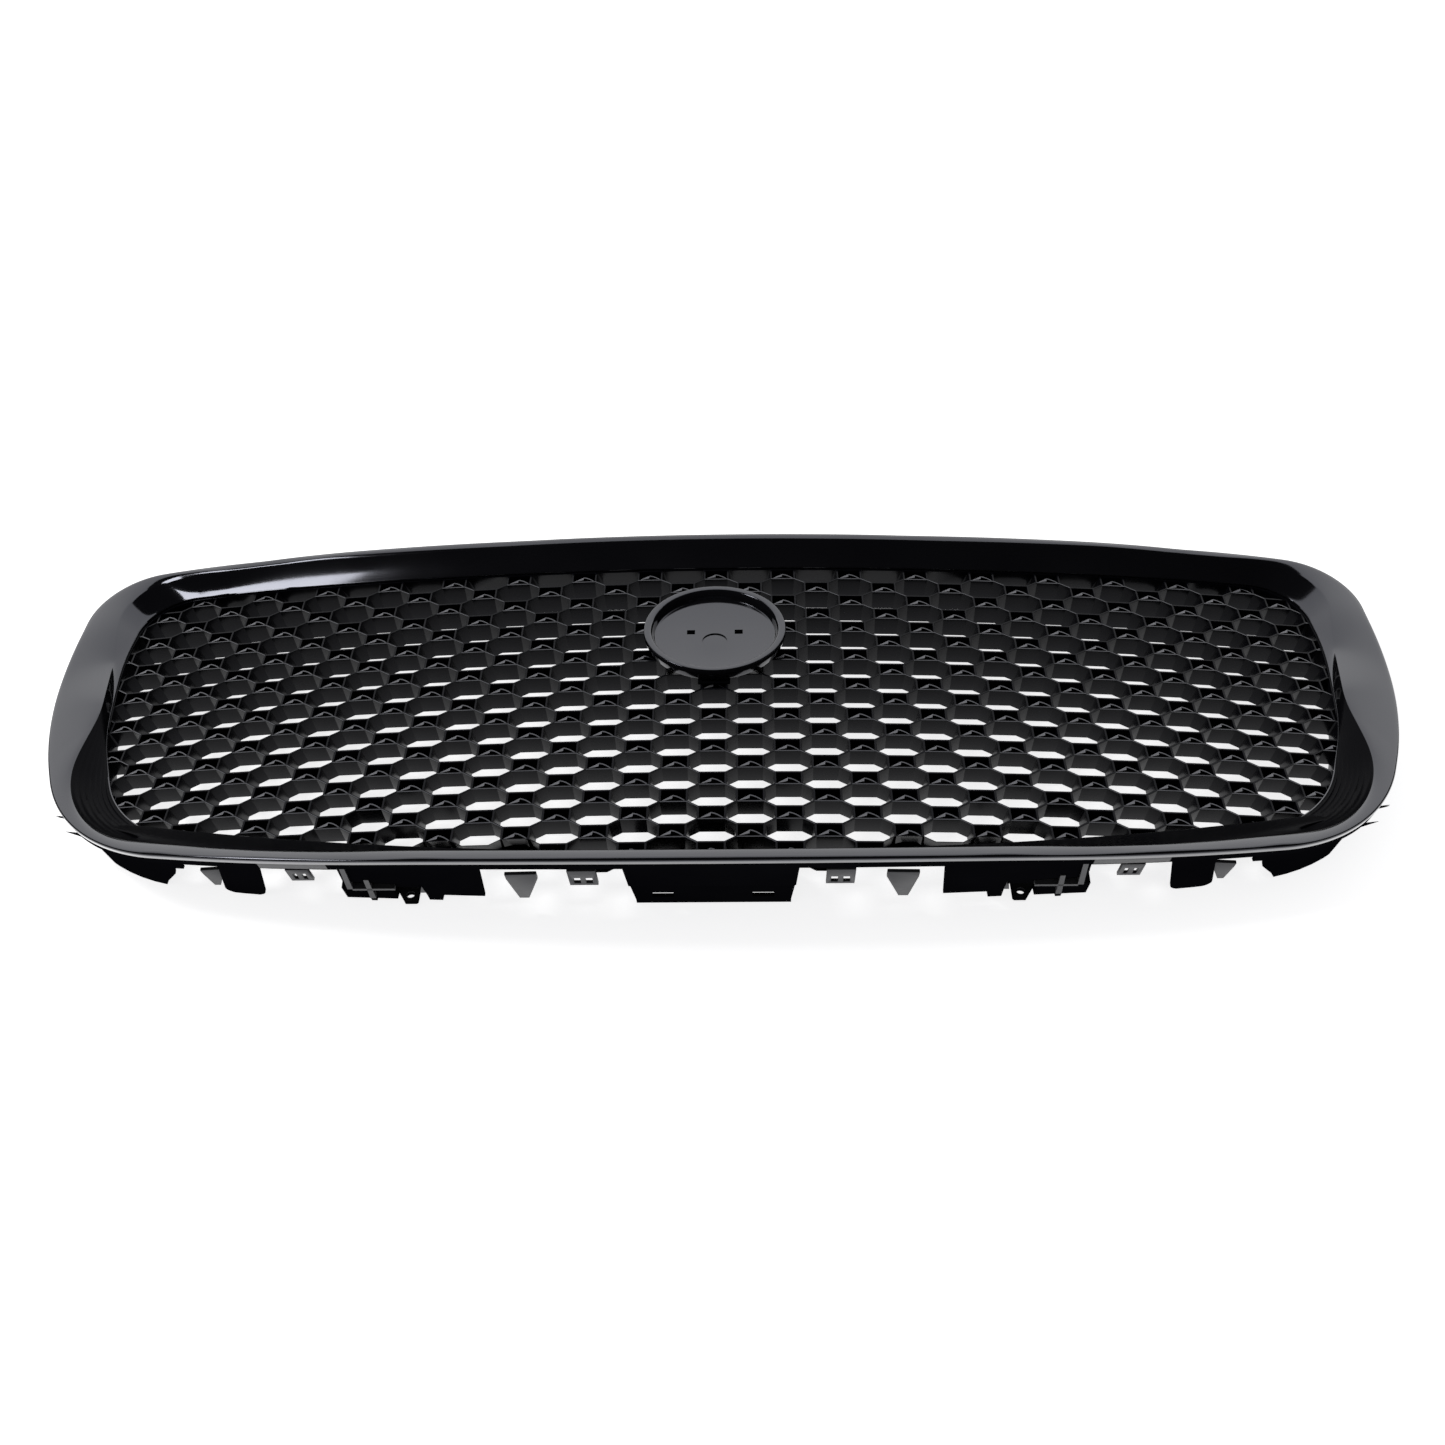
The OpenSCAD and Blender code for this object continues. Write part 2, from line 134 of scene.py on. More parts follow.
def fillet(a, b, c, r, n):
    """Arc of radius r in the corner b, in n steps."""
    p, q = (a - b).normalized(), (c - b).normalized()
    half = p.angle(q) / 2
    m = b + (p + q).normalized() * (r / math.sin(half))
    s, e = b + p * (r / math.tan(half)), b + q * (r / math.tan(half))
    a0 = math.atan2(s.y - m.y, s.x - m.x)
    d = math.atan2(e.y - m.y, e.x - m.x) - a0
    d = (d + math.pi) % (2 * math.pi) - math.pi
    return [m + Vector((math.cos(a0 + d * k / n), math.sin(a0 + d * k / n))) * r for k in range(n + 1)]


def outline(corners, runs=RUN_STEPS):
    """Closed list of points with rounded corners; straight runs are divided too."""
    steps = CORNER_STEPS
    n = len(corners)
    arcs = [fillet(Vector(corners[k - 1][:2]), Vector(corners[k][:2]), Vector(corners[(k + 1) % n][:2]),
                   corners[k][2], steps[k]) for k in range(n)]
    points = []
    for k in range(n):
        points += arcs[k]
        a, b = arcs[k][-1], arcs[(k + 1) % n][0]
        points += [a.lerp(b, j / runs) for j in range(1, runs)]
    return points


def along(values, runs=RUN_STEPS):
    """One value per outline point, held round each corner and eased along the runs."""
    steps = CORNER_STEPS
    n = len(values)
    out = []
    for k in range(n):
        out += [values[k]] * (steps[k] + 1)
        a, b = values[k], values[(k + 1) % n]
        for j in range(1, runs):
            t = j / runs
            out.append(a + (b - a) * t * t * (3 - 2 * t))
    return out


def inset(corners, d):
    """Corners of the outline moved inward by d."""
    out, n = [], len(corners)
    for k in range(n):
        b = Vector(corners[k][:2])
        p = (Vector(corners[k - 1][:2]) - b).normalized()
        q = (Vector(corners[(k + 1) % n][:2]) - b).normalized()
        m = b + (p + q).normalized() * (d / math.sin(p.angle(q) / 2))
        out.append((m.x, m.y, corners[k][2] - d))
    return out


# ------------------------------------------------------------------ mesh helpers
WELD_DIST = 0.00002                  # metres


def crease(mesh, degrees):
    """Shade smooth, with hard edges over the given angle."""
    for p in mesh.polygons:
        p.use_smooth = True
    bm = bmesh.new()
    bm.from_mesh(mesh)
    for e in bm.edges:
        e.smooth = len(e.link_faces) == 2 and e.calc_face_angle(0) < math.radians(degrees)
    bm.to_mesh(mesh)
    bm.free()


def link_mesh(name, verts, faces):
    """New object with the given mesh, linked to the scene."""
    mesh = bpy.data.meshes.new(name)
    mesh.from_pydata([tuple(v) for v in verts], [], faces)
    obj = bpy.data.objects.new(name, mesh)
    bpy.context.scene.collection.objects.link(obj)
    return obj


def make(name, verts, faces, material, node=None, smooth=None, tags=None):
    """Visual piece on the root body; tags give each face one of the piece's materials."""
    mesh = bpy.data.meshes.new(name)
    mesh.from_pydata([tuple(v) for v in verts], [], faces)
    if tags:
        mesh.polygons.foreach_set("material_index", tags)
    mesh.validate()
    obj = bpy.data.objects.new(name, mesh)
    bpy.context.scene.collection.objects.link(obj)
    bm = bmesh.new()
    bm.from_mesh(mesh)
    bmesh.ops.remove_doubles(bm, verts=bm.verts, dist=WELD_DIST)
    bmesh.ops.recalc_face_normals(bm, faces=bm.faces)
    bm.to_mesh(mesh)
    bm.free()
    if smooth is not None:
        crease(mesh, smooth)
    mesh.materials.append(material)
    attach(obj, "root")
    if node:
        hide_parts(node)
    return obj


def ring_faces(n, m, base=0):
    """Quads of a torus of n sections with m points each."""
    return [(base + k * m + j, base + ((k + 1) % n) * m + j, base + ((k + 1) % n) * m + (j + 1) % m,
             base + k * m + (j + 1) % m) for k in range(n) for j in range(m)]


def spline(points, n):
    """Catmull-Rom through the points, n steps a span."""
    out = []
    last = len(points) - 1
    for k in range(last):
        p0, p1, p2, p3 = points[max(k - 1, 0)], points[k], points[k + 1], points[min(k + 2, last)]
        for j in range(n):
            t = j / n
            out.append(0.5 * ((2 * p1) + (p2 - p0) * t + (2 * p0 - 5 * p1 + 4 * p2 - p3) * t * t
                              + (3 * p1 - p0 - 3 * p2 + p3) * t * t * t))
    out.append(points[-1])
    return out


def poly_inset(points, d):
    """Convex counter-clockwise polygon moved inward by d."""
    n, out = len(points), []
    for k in range(n):
        a, b, c = points[k - 1], points[k], points[(k + 1) % n]
        e0, e1 = (b - a).normalized(), (c - b).normalized()
        n0, n1 = Vector((-e0.y, e0.x)), Vector((-e1.y, e1.x))
        bis = (n0 + n1).normalized()
        out.append(b + bis * (d / max(bis.dot(n0), 0.2)))
    return out


# ------------------------------------------------------------------ materials
COOL_TINT = (0.86, 0.88, 1.0, 1)     # colour of the reflections
BROAD_SCALE = 14.0                   # of the noise that varies roughness and colour
LIGHTER = 1.35                       # how much lighter the lightest spots are
BUMP_DEPTH = 0.0004                  # metres
COAT_ROUGH = 0.06


def node_material(name, colour, rough, rough_spread=0.05, bump=0.02, bump_scale=900.0, coat=0.0,
                  metallic=0.0, specular=0.5):
    """Moulded or plated surface: broad noise in roughness and colour, fine noise as bump."""
    mat = bpy.data.materials.new(name)
    mat.use_nodes = True
    nt = mat.node_tree
    bsdf = nt.nodes["Principled BSDF"]
    coord = nt.nodes.new("ShaderNodeTexCoord")
    fine = nt.nodes.new("ShaderNodeTexNoise")
    fine.inputs["Scale"].default_value = bump_scale
    fine.inputs["Detail"].default_value = 4
    broad = nt.nodes.new("ShaderNodeTexNoise")
    broad.inputs["Scale"].default_value = BROAD_SCALE
    broad.inputs["Detail"].default_value = 6
    for n in (fine, broad):
        nt.links.new(coord.outputs["Object"], n.inputs["Vector"])
    ramp = nt.nodes.new("ShaderNodeMapRange")
    ramp.inputs["From Min"].default_value = 0.3
    ramp.inputs["From Max"].default_value = 0.7
    ramp.inputs["To Min"].default_value = max(rough - rough_spread, 0.02)
    ramp.inputs["To Max"].default_value = rough + rough_spread
    nt.links.new(broad.outputs["Fac"], ramp.inputs["Value"])
    nt.links.new(ramp.outputs["Result"], bsdf.inputs["Roughness"])
    mix = nt.nodes.new("ShaderNodeMix")
    mix.data_type = "RGBA"
    mix.inputs["A"].default_value = (*colour, 1)
    mix.inputs["B"].default_value = (*[min(1, c * LIGHTER + 0.002) for c in colour], 1)
    nt.links.new(broad.outputs["Fac"], mix.inputs["Factor"])
    nt.links.new(mix.outputs["Result"], bsdf.inputs["Base Color"])
    bsdf.inputs["Metallic"].default_value = metallic
    bsdf.inputs["Specular IOR Level"].default_value = specular
    bsdf.inputs["Specular Tint"].default_value = COOL_TINT
    bsdf.inputs["Coat Weight"].default_value = coat
    bsdf.inputs["Coat Roughness"].default_value = COAT_ROUGH
    grain = nt.nodes.new("ShaderNodeBump")
    grain.inputs["Strength"].default_value = bump
    grain.inputs["Distance"].default_value = BUMP_DEPTH
    nt.links.new(fine.outputs["Fac"], grain.inputs["Height"])
    nt.links.new(grain.outputs["Normal"], bsdf.inputs["Normal"])
    return mat


GLOSS = node_material("gloss_black_plastic", (0.0035, 0.0035, 0.0045), 0.09, 0.03, 0.008, 700)
SATIN = node_material("satin_black_plastic", (0.001, 0.001, 0.0016), 0.5, 0.05, 0.03, 900, specular=0.0)
# painted highlight: a shinier, coated copy of the gloss plastic, for the lower edge of the lip
LIP_EDGE_HIGHLIGHT = node_material("lip_edge_highlight_plastic", (0.004, 0.004, 0.005), 0.12, 0.03, 0.008, 700,
                         specular=1.0, coat=1.0)
# painted shade: a darker, almost unreflecting copy of the gloss plastic, for the lower part of the surround's
# inner wall
RECESS_SHADE = node_material("shaded_lower_wall_plastic", (0.0025, 0.0025, 0.0035), 0.3, 0.04, 0.01, 800,
                       specular=0.015)
CELLS = node_material("mesh_black_plastic", (0.0022, 0.0022, 0.0036), 0.26, 0.05, 0.015, 800,
                      specular=0.05)
# painted highlight: a lighter, shinier copy of the mesh plastic, for the lit rim edges of the cells and the
# ridges of the pocket gables
RIM_HIGHLIGHT = node_material("mesh_rim_highlight_plastic", (0.005, 0.005, 0.0065), 0.2, 0.04, 0.01, 800, specular=0.45)
# painted highlight: a lighter grey plastic for the flat leaves of the pocket gables
GABLE_HIGHLIGHT = node_material("mesh_gable_highlight_plastic", (0.07, 0.07, 0.075), 0.35, 0.05, 0.02, 800)
GREY = node_material("grey_black_plastic", (0.016, 0.016, 0.017), 0.42, 0.06, 0.06, 1100, specular=0.3)
ZINC = node_material("zinc_plated_steel", (0.55, 0.55, 0.56), 0.3, 0.08, 0.03, 1500, metallic=1.0)
SPRING = node_material("spring_steel", (0.4, 0.41, 0.43), 0.34, 0.08, 0.03, 1500, metallic=1.0)
FOAM = node_material("closed_cell_foam", (0.03, 0.03, 0.031), 0.85, 0.08, 0.6, 2200)

SLOT_LOOK = {"gloss_black": GLOSS, "satin_black": SATIN, "grey_black": GREY, "zinc_steel": ZINC,
             "spring_steel": SPRING, "foam": FOAM}


CAD_WELD, CAD_FLAT, CAD_SHARP, CAD_SMOOTH = 0.00001, math.radians(1.5), math.radians(35), math.radians(32)


def dress(cad, look, width):
    """Finish, soft moulded edges and smooth shading for a CAD node that stays in view."""
    for k in range(len(cad.material_slots)):
        cad.material_slots[k].material = look
    weld = cad.modifiers.new("weld", "WELD")
    weld.merge_threshold = CAD_WELD
    flat = cad.modifiers.new("flat", "DECIMATE")
    flat.decimate_type = "DISSOLVE"
    flat.angle_limit = CAD_FLAT
    soft = cad.modifiers.new("soft", "BEVEL")
    soft.width = width * MM
    soft.segments = 2
    soft.limit_method = "ANGLE"
    soft.angle_limit = CAD_SHARP
    soft.harden_normals = False
    smooth = cad.modifiers.new("smooth", "NODES")
    smooth.node_group = SMOOTHER


def smoother():
    """Geometry nodes that shade smooth except over sharp edges."""
    group = bpy.data.node_groups.new("smooth_by_angle", "GeometryNodeTree")
    group.interface.new_socket("Geometry", in_out="INPUT", socket_type="NodeSocketGeometry")
    group.interface.new_socket("Geometry", in_out="OUTPUT", socket_type="NodeSocketGeometry")
    new = group.nodes.new
    start, end = new("NodeGroupInput"), new("NodeGroupOutput")
    angle, less = new("GeometryNodeInputMeshEdgeAngle"), new("FunctionNodeCompare")
    face, edge = new("GeometryNodeSetShadeSmooth"), new("GeometryNodeSetShadeSmooth")
    less.operation = "LESS_THAN"
    less.inputs[1].default_value = CAD_SMOOTH
    edge.domain = "EDGE"
    link = group.links.new
    link(angle.outputs["Unsigned Angle"], less.inputs[0])
    link(start.outputs[0], face.inputs["Geometry"])
    link(face.outputs[0], edge.inputs["Geometry"])
    link(less.outputs[0], edge.inputs["Shade Smooth"])
    link(edge.outputs[0], end.inputs[0])
    return group


SMOOTHER = smoother()
EDGE_WIDTH = {"zinc_steel": 0.2, "spring_steel": 0.15, "foam": 0.3}      # mm, where not PLASTIC_EDGE
PLASTIC_EDGE = 0.35
for part in frame["record"]["subparts"]:
    finish = part["material_slot"]
    dress(frame["nodes"][part["node"]], SLOT_LOOK[finish], EDGE_WIDTH.get(finish, PLASTIC_EDGE))


# ------------------------------------------------------------------ surround
outer_c, crest_c, ridge_c = mirrored(OUTER_HALF), mirrored(CREST_HALF), mirrored(RIDGE_HALF)


def lifted(p, w):
    return Vector((p.x, p.y, w))


def even_rings(count=720, spread=3.2):
    """Outer, crest and ridge points and crest heights at even steps round the shell.

    The way from the outer line to the other two is eased along the ring with a bell curve.
    """
    outer_p, crest_p, ridge_p = outline(outer_c), outline(crest_c), outline(ridge_c)
    height = along([c[3] for c in outer_c])
    n = len(outer_p)
    run = [0.0]
    for k in range(n):
        run.append(run[-1] + (outer_p[(k + 1) % n] - outer_p[k]).length)
    rows, k = [], 0                       # outer point, steps to the crest and ridge, crest height
    for step in range(count):
        s = run[-1] * step / count
        while run[k + 1] < s:
            k += 1
        t = (s - run[k]) / max(run[k + 1] - run[k], 1e-9)
        o, c, r = (p[k % n].lerp(p[(k + 1) % n], t) for p in (outer_p, crest_p, ridge_p))
        rows.append((o, c - o, r - o, height[k % n] * (1 - t) + height[(k + 1) % n] * t))
    reach = int(spread * 3)
    weights = [math.exp(-0.5 * (d / spread) ** 2) for d in range(-reach, reach + 1)]
    total = sum(weights)
    out = []
    for k in range(count):
        near = [rows[(k + d) % count] for d in range(-reach, reach + 1)]
        c = sum((q[1] * w for q, w in zip(near, weights)), Vector((0, 0))) / total
        r = sum((q[2] * w for q, w in zip(near, weights)), Vector((0, 0))) / total
        h = sum(q[3] * w for q, w in zip(near, weights)) / total
        out.append((rows[k][0], rows[k][0] + c, rows[k][0] + r, h))
    return out


BEAD_TOP = 16                        # height of the outer bead over the face
BEAD_WIDTH, BULGE = 2.6, 0.8         # at most
RIDGE_TOP = 2.2                      # height of the inner wall's foot
LIP_WIDTH, SKIN = 2.2, 1.2           # underside of the lip; step from the front skin to the inner side
HEM_LOW, HEM_RISE, HEM_FROM = -4, 6.5, 40      # the skirt's hem rises as v goes from HEM_FROM to 0
STEPS_X, STEPS_V = 392, 30           # middle of the stepped lower corner
STEPS_SPREAD_X, STEPS_SPREAD_V = 2600, 1900    # mm squared
RIB_COUNT, RIB_FACETS, RIB_HEIGHT = 7, 4, 0.55
PLAIN_FOOT = 0.93                    # past this part of the wall there are no ribs


def surround_section(o, c, r, wc):
    """Closed profile round the shell, as (x, v, height over the face)."""
    n, length = (c - o).normalized(), (c - o).length
    back = (o - r).normalized()
    bead = min(BEAD_WIDTH, length * 0.4)
    b = o + n * bead
    m = (b + c) / 2
    bulge = min(length * 0.02, BULGE)
    mid = (BEAD_TOP + wc) / 2
    front = [lifted(o, 10.5), lifted(o + n * 0.15, 13.4), lifted(o + n * 0.8, 15.3), lifted(b, BEAD_TOP),
             lifted(b.lerp(m, 0.5), (BEAD_TOP * 3 + wc) / 4 + bulge), lifted(m, mid + bulge * 1.3),
             lifted(m.lerp(c, 0.55), mid * 0.45 + wc * 0.55 + bulge), lifted(c, wc)]
    outer_side = spline(front, 3)
    corner = math.exp(-((abs(o.x) - STEPS_X) ** 2 / STEPS_SPREAD_X + (o.y - STEPS_V) ** 2 / STEPS_SPREAD_V))
    wall = []
    steps = RIB_COUNT * RIB_FACETS
    for k in range(1, steps):
        t = k / steps
        w = wc + (RIDGE_TOP - wc) * (1 - (1 - t) ** (1.15 + 1.6 * corner))
        if t < PLAIN_FOOT:
            w += RIB_HEIGHT * corner * {0: 1, 2: -0.25}.get(k % RIB_FACETS, 0)
        wall.append(lifted(c.lerp(r, t), w))
    lip = [lifted(r + back * 0.7, 2.35), lifted(r + back * 0.1, 2.0)]
    ri, h = r + back * LIP_WIDTH, back * SKIN
    g = (c + r) / 2
    hem = HEM_LOW + HEM_RISE * min(max((HEM_FROM - o.y) / HEM_FROM, 0), 1)
    rest = [lifted(r, -0.1), lifted(ri, 0.3), lifted(g + back * 0.6 + h, (wc + 2) / 2 - 3.4),
            lifted(c + h * 0.3, wc - 3),
            lifted(o + n * 2.4, 11.5), lifted(o + n * 2, hem), lifted(o + n * 0.4, hem), lifted(o, hem + 0.4)]
    return outer_side + wall + lip + rest


rings = [surround_section(o, c, r, w) for o, c, r, w in even_rings()]
FIRST_WALL = 21                      # faces of the front, three to each of its seven spans
LAST_WALL = FIRST_WALL + RIB_COUNT * RIB_FACETS
RECESS_TOP, LOWER_TOP = 132, 60      # below these the inner wall gets a darker, almost unreflecting copy of the gloss plastic as painted shade, and the lip and skirt are the lower ones
SKIRT_FACES = EDGE_FACES = 4         # faces of the skirt, and of the lip's edge
GREY_RUN = (223, 267)                # stretch of the skirt that is left bare
IS_GLOSS, IS_SHADED_RECESS, IS_SHADED_SKIRT, IS_EDGE_HIGHLIGHT, IS_GREY = range(5)


def surround_look(ring, j):
    """Which of the five materials face j of a ring has."""
    x, v = abs(ring[0].x), ring[0].y
    # painted shade: the lower inner wall gets the dark, almost unreflecting recess plastic
    if v < RECESS_TOP and FIRST_WALL <= j < LAST_WALL:
        return IS_SHADED_RECESS
    # painted shade: below the lip the skirt of the gloss moulding gets the unreflecting satin plastic
    if v < LOWER_TOP and j >= len(ring) - SKIRT_FACES:
        return IS_GREY if GREY_RUN[0] < x < GREY_RUN[1] else IS_SHADED_SKIRT
    # painted highlight: the lip's lower edge gets the shinier, coated plastic
    return IS_EDGE_HIGHLIGHT if v < LOWER_TOP and j < EDGE_FACES else IS_GLOSS


looks = [surround_look(ring, j) for ring in rings for j in range(len(ring))]
surround = make("surround_shell", [on_face(p.x, p.y, p.z) for ring in rings for p in ring],
                ring_faces(len(rings), len(rings[0])), GLOSS, "surround_frame",
                smooth=38, tags=looks)
for look in (RECESS_SHADE, SATIN, LIP_EDGE_HIGHLIGHT, GREY):
    surround.data.materials.append(look)

# ------------------------------------------------------------------ mesh field
SLANT_X, SLANT_V = 0.15 * PITCH_X, 0.308 * PITCH_V                  # cut corners of an octagon
OCT_W, OCT_H = (PITCH_X / 2 + SLANT_X) / 2, (PITCH_V + SLANT_V) / 2
POCKET_W, POCKET_H = OCT_W - SLANT_X, OCT_H - SLANT_V
DEPTH = MESH_T / CT
FIELD_HALF = [(0, 239.5, 40000), (330, 238.6, 2300), (411, 235.5, 38), (416, 172, 190),
              (404, 96, 200), (374, 13, 70), (262, -10.5, 1600), (0, -16.5, 6700)]
field_p = outline(mirrored(FIELD_HALF))
BORDER_INSET = 5.4                   # from the surround's outline to the mesh panel's edge
ROWS, COLUMNS = range(-2, 20), range(-19, 20)
SQUEEZE, BADGE_GAP = 0.8, 12         # shape of the patch without cells under the badge


def inside(x, v, poly):
    """Whether a point lies in a closed outline."""
    hit, n = False, len(poly)
    for k in range(n):
        a, b = poly[k], poly[(k + 1) % n]
        if (a.y > v) != (b.y > v) and x < (b.x - a.x) * (v - a.y) / (b.y - a.y) + a.x:
            hit = not hit
    return hit


OCTAGON = [Vector(p) for p in ((-OCT_W, -POCKET_H), (-POCKET_W, -OCT_H), (POCKET_W, -OCT_H),
                               (OCT_W, -POCKET_H), (OCT_W, POCKET_H), (POCKET_W, OCT_H),
                               (-POCKET_W, OCT_H), (-OCT_W, POCKET_H))]
POCKET = [Vector(p) for p in ((-POCKET_W, -POCKET_H), (POCKET_W, -POCKET_H), (POCKET_W, POCKET_H),
                              (-POCKET_W, POCKET_H))]
# levels of a cell: inset from its outline, and height over the face
RIM = [(0.0, 0.02), (0.5, 0.0), (0.62, -0.12), (0.72, -0.5)]
POCKET_FLOOR = [(1.5, -12.5), (1.9, -13.2)]
FOOT_INSET, FOOT_ROUND, FOOT_EDGE = 1.75, 0.35, 0.3                 # lower end of an opening
TOP_TAPER, TOP_EXTRA = 1.3, 2.0      # how much narrower and deeper the openings get towards the top
TAPER_FROM, TAPER_OVER = 70, 170     # where on the face that starts, and over what height
LIT_EDGES = (4, 5)                                                  # upper right and top edges of a cell, whose rims get a painted highlight


def cell_mesh(verts, faces, tags, x, v, shape, levels, closed_at=None):
    """Stacks inset rings of one cell; closed_at caps that level. The rim's lit edges get tag 1, the lighter,
    shinier rim plastic that paints their highlight.
    """
    n, base = len(shape), len(verts)
    for d, w in levels:
        for p in poly_inset(shape, d) if d else shape:
            verts.append(on_face(x + p.x, v + p.y, w))
    for k in range(len(levels) - 1):
        for j in range(n):
            a, b = base + k * n, base + (k + 1) * n
            faces.append((a + j, a + (j + 1) % n, b + (j + 1) % n, b + j))
            tags.append(1 if k == 0 and n == len(OCTAGON) and j in LIT_EDGES else 0)
    if closed_at is not None:
        faces.append(tuple(base + closed_at * n + j for j in range(n)))
        tags.append(0)


def opening_levels(v):
    rise = min(max((v - TAPER_FROM) / TAPER_OVER, 0), 1)
    foot, low = FOOT_INSET + TOP_TAPER * rise, -DEPTH - TOP_EXTRA * rise
    return RIM + [(foot, low + FOOT_EDGE), (foot - FOOT_ROUND, low), (0.0, -DEPTH)]


def build_field():
    """Vertices, faces and tags of the lattice and of the gables in its blind pockets."""
    verts, faces, tags, rib_verts, rib_faces, rib_tags = [], [], [], [], [], []
    limit = outline(inset(outer_c, BORDER_INSET))
    for j in ROWS:
        for i in COLUMNS:
            x, v = i * PITCH_X / 2, j * PITCH_V
            if not all(inside(x + p.x, v + p.y, limit) for p in OCTAGON):
                continue
            if math.hypot(x * SQUEEZE, v - BADGE_Y * CT) < BADGE_R - BADGE_GAP:
                continue
            if (i + j) % 2 == 0:
                cell_mesh(verts, faces, tags, x, v, OCTAGON, opening_levels(v))
            else:
                levels = RIM + POCKET_FLOOR
                cell_mesh(verts, faces, tags, x, v, POCKET, levels, closed_at=len(levels) - 1)
                cell_mesh(verts, faces, tags, x, v, POCKET, [(0.0, -DEPTH)], closed_at=0)
                pocket_gable(rib_verts, rib_faces, rib_tags, x, v)
    return verts, faces, tags, rib_verts, rib_faces, rib_tags


LEAF = ((-7.6, -4.5), (-0.2, 0.4), (-0.7, -2.5))       # flat leaf of a pocket's gable, x and v
RIDGE_LINE = ((-0.2, 0.4), (1.6, -0.1), (3.6, -1.1), (5.6, -2.5), (7.6, -4.3))
RIDGE_THICK = 0.9
GABLE_TOP, GABLE_FOOT = -0.5, -13.0


def pocket_gable(verts, faces, tags, x, v):
    """Small gable in a blind pocket: a flat leaf on the left and a thin ridge falling to the right. The
    leaf's top is in lighter grey plastic and the ridge's top in the rim plastic, both painted highlights.
    """
    def column(points, look):
        n, base = len(points), len(verts)
        for w in (GABLE_TOP, GABLE_FOOT):
            verts.extend(on_face(x + a, v + b, w) for a, b in points)
        faces.append(tuple(base + k for k in range(n)))
        tags.append(look)
        faces.append(tuple(base + n + k for k in reversed(range(n))))
        faces.extend((base + k, base + n + k, base + n + (k + 1) % n, base + (k + 1) % n)
                     for k in range(n))
        tags.extend([2] * (n + 1))

    column(LEAF, 0)
    for (a, b), (c, d) in zip(RIDGE_LINE, RIDGE_LINE[1:]):
        column(((a, b - RIDGE_THICK), (c, d - RIDGE_THICK), (c, d), (a, b)), 1)


verts, faces, tags, rib_verts, rib_faces, rib_tags = build_field()
lattice = make("mesh_lattice", verts, faces, CELLS, "mesh_panel", smooth=24, tags=tags)
lattice.data.materials.append(RIM_HIGHLIGHT)
# the gables' leaves and ridges carry painted highlights in the lighter plastics
gables = make("mesh_pocket_gables", rib_verts, rib_faces, GABLE_HIGHLIGHT, "mesh_panel", tags=rib_tags)
gables.data.materials.append(RIM_HIGHLIGHT)
gables.data.materials.append(CELLS)

# solid border of the mesh panel
BORDER_EDGE = -6.5                   # how deep its outer edge reaches
BORDER_BACK = -DEPTH - 0.1
BACK_SHARE = 0.3                     # where its back lies between the field and the outer edge
VIEW_SHIFT, HIDE_MARGIN = 0.456, 2.2  # how far a deep point seems to drop, and room to spare
border_out, surround_line = outline(inset(outer_c, BORDER_INSET)), outline(outer_c)


def tuck(x, v, w):
    """Point on the face at depth w, raised until the surround hides it from below."""
    while w < -1 and not inside(x, v + VIEW_SHIFT * w - HIDE_MARGIN, surround_line):
        w += 1
    return on_face(x, v, w)


def border_section(a, b):
    """Closed profile of the border between the field's edge a and the outer edge b."""
    out, back = (b - a).normalized(), b * BACK_SHARE + a * (1 - BACK_SHARE)
    return [tuck(a.x, a.y, BORDER_BACK), on_face(a.x, a.y, -0.5),
            on_face(a.x + out.x * 0.3, a.y + out.y * 0.3, 0.1),
            on_face(a.x + out.x * 0.9, a.y + out.y * 0.9, 0.3), on_face(b.x, b.y, 0.2),
            tuck(b.x, b.y, BORDER_EDGE), tuck(back.x, back.y, BORDER_BACK)]


sections = [border_section(a, b) for a, b in zip(field_p, border_out)]
make("mesh_border", [p for s in sections for p in s], ring_faces(len(sections), len(sections[0])), CELLS,
     "mesh_panel", smooth=30)


# ------------------------------------------------------------------ badge seat
def lathe(profile, n=144):
    """Vertices and faces of a closed profile of radius and height turned about the badge's axis."""
    verts = [face_point(r * math.cos(2 * math.pi * k / n), BADGE_Y + r * math.sin(2 * math.pi * k / n), z)
             for k in range(n) for r, z in profile]
    return verts, ring_faces(n, len(profile))


def rounded_profile(points, r, n=4):
    """Closed profile with each corner rounded by r."""
    out, m = [], len(points)
    for k in range(m):
        a, b, c = (Vector(points[(k + d) % m]) for d in (-1, 0, 1))
        rr = min(r, (a - b).length * 0.45, (c - b).length * 0.45)
        p, q = b + (a - b).normalized() * rr, b + (c - b).normalized() * rr
        for j in range(n + 1):
            t = j / n
            out.append(p * (1 - t) ** 2 + b * 2 * t * (1 - t) + q * t * t)
    return [(p.x, p.y) for p in out]


def boolean(obj, cutters):
    """Cuts the cutters out of obj and removes them."""
    for c in cutters:
        m = obj.modifiers.new("cut", "BOOLEAN")
        m.operation = "DIFFERENCE"
        m.solver = "EXACT"
        m.object = c
    bpy.context.view_layer.update()
    dg = bpy.context.evaluated_depsgraph_get()
    mesh = bpy.data.meshes.new_from_object(obj.evaluated_get(dg))
    obj.modifiers.clear()
    obj.data = mesh
    for c in cutters:
        bpy.data.objects.remove(c, do_unlink=True)
    return obj


def prism(name, outline_pts, z0, z1):
    """Closed prism in the face frame, from a convex outline in mm."""
    n = len(outline_pts)
    verts = [face_point(x, y, z) for z in (z0, z1) for x, y in outline_pts]
    faces = [tuple(reversed(range(n))), tuple(range(n, 2 * n))]
    faces += [(k, (k + 1) % n, n + (k + 1) % n, n + k) for k in range(n)]
    return link_mesh(name, verts, faces)


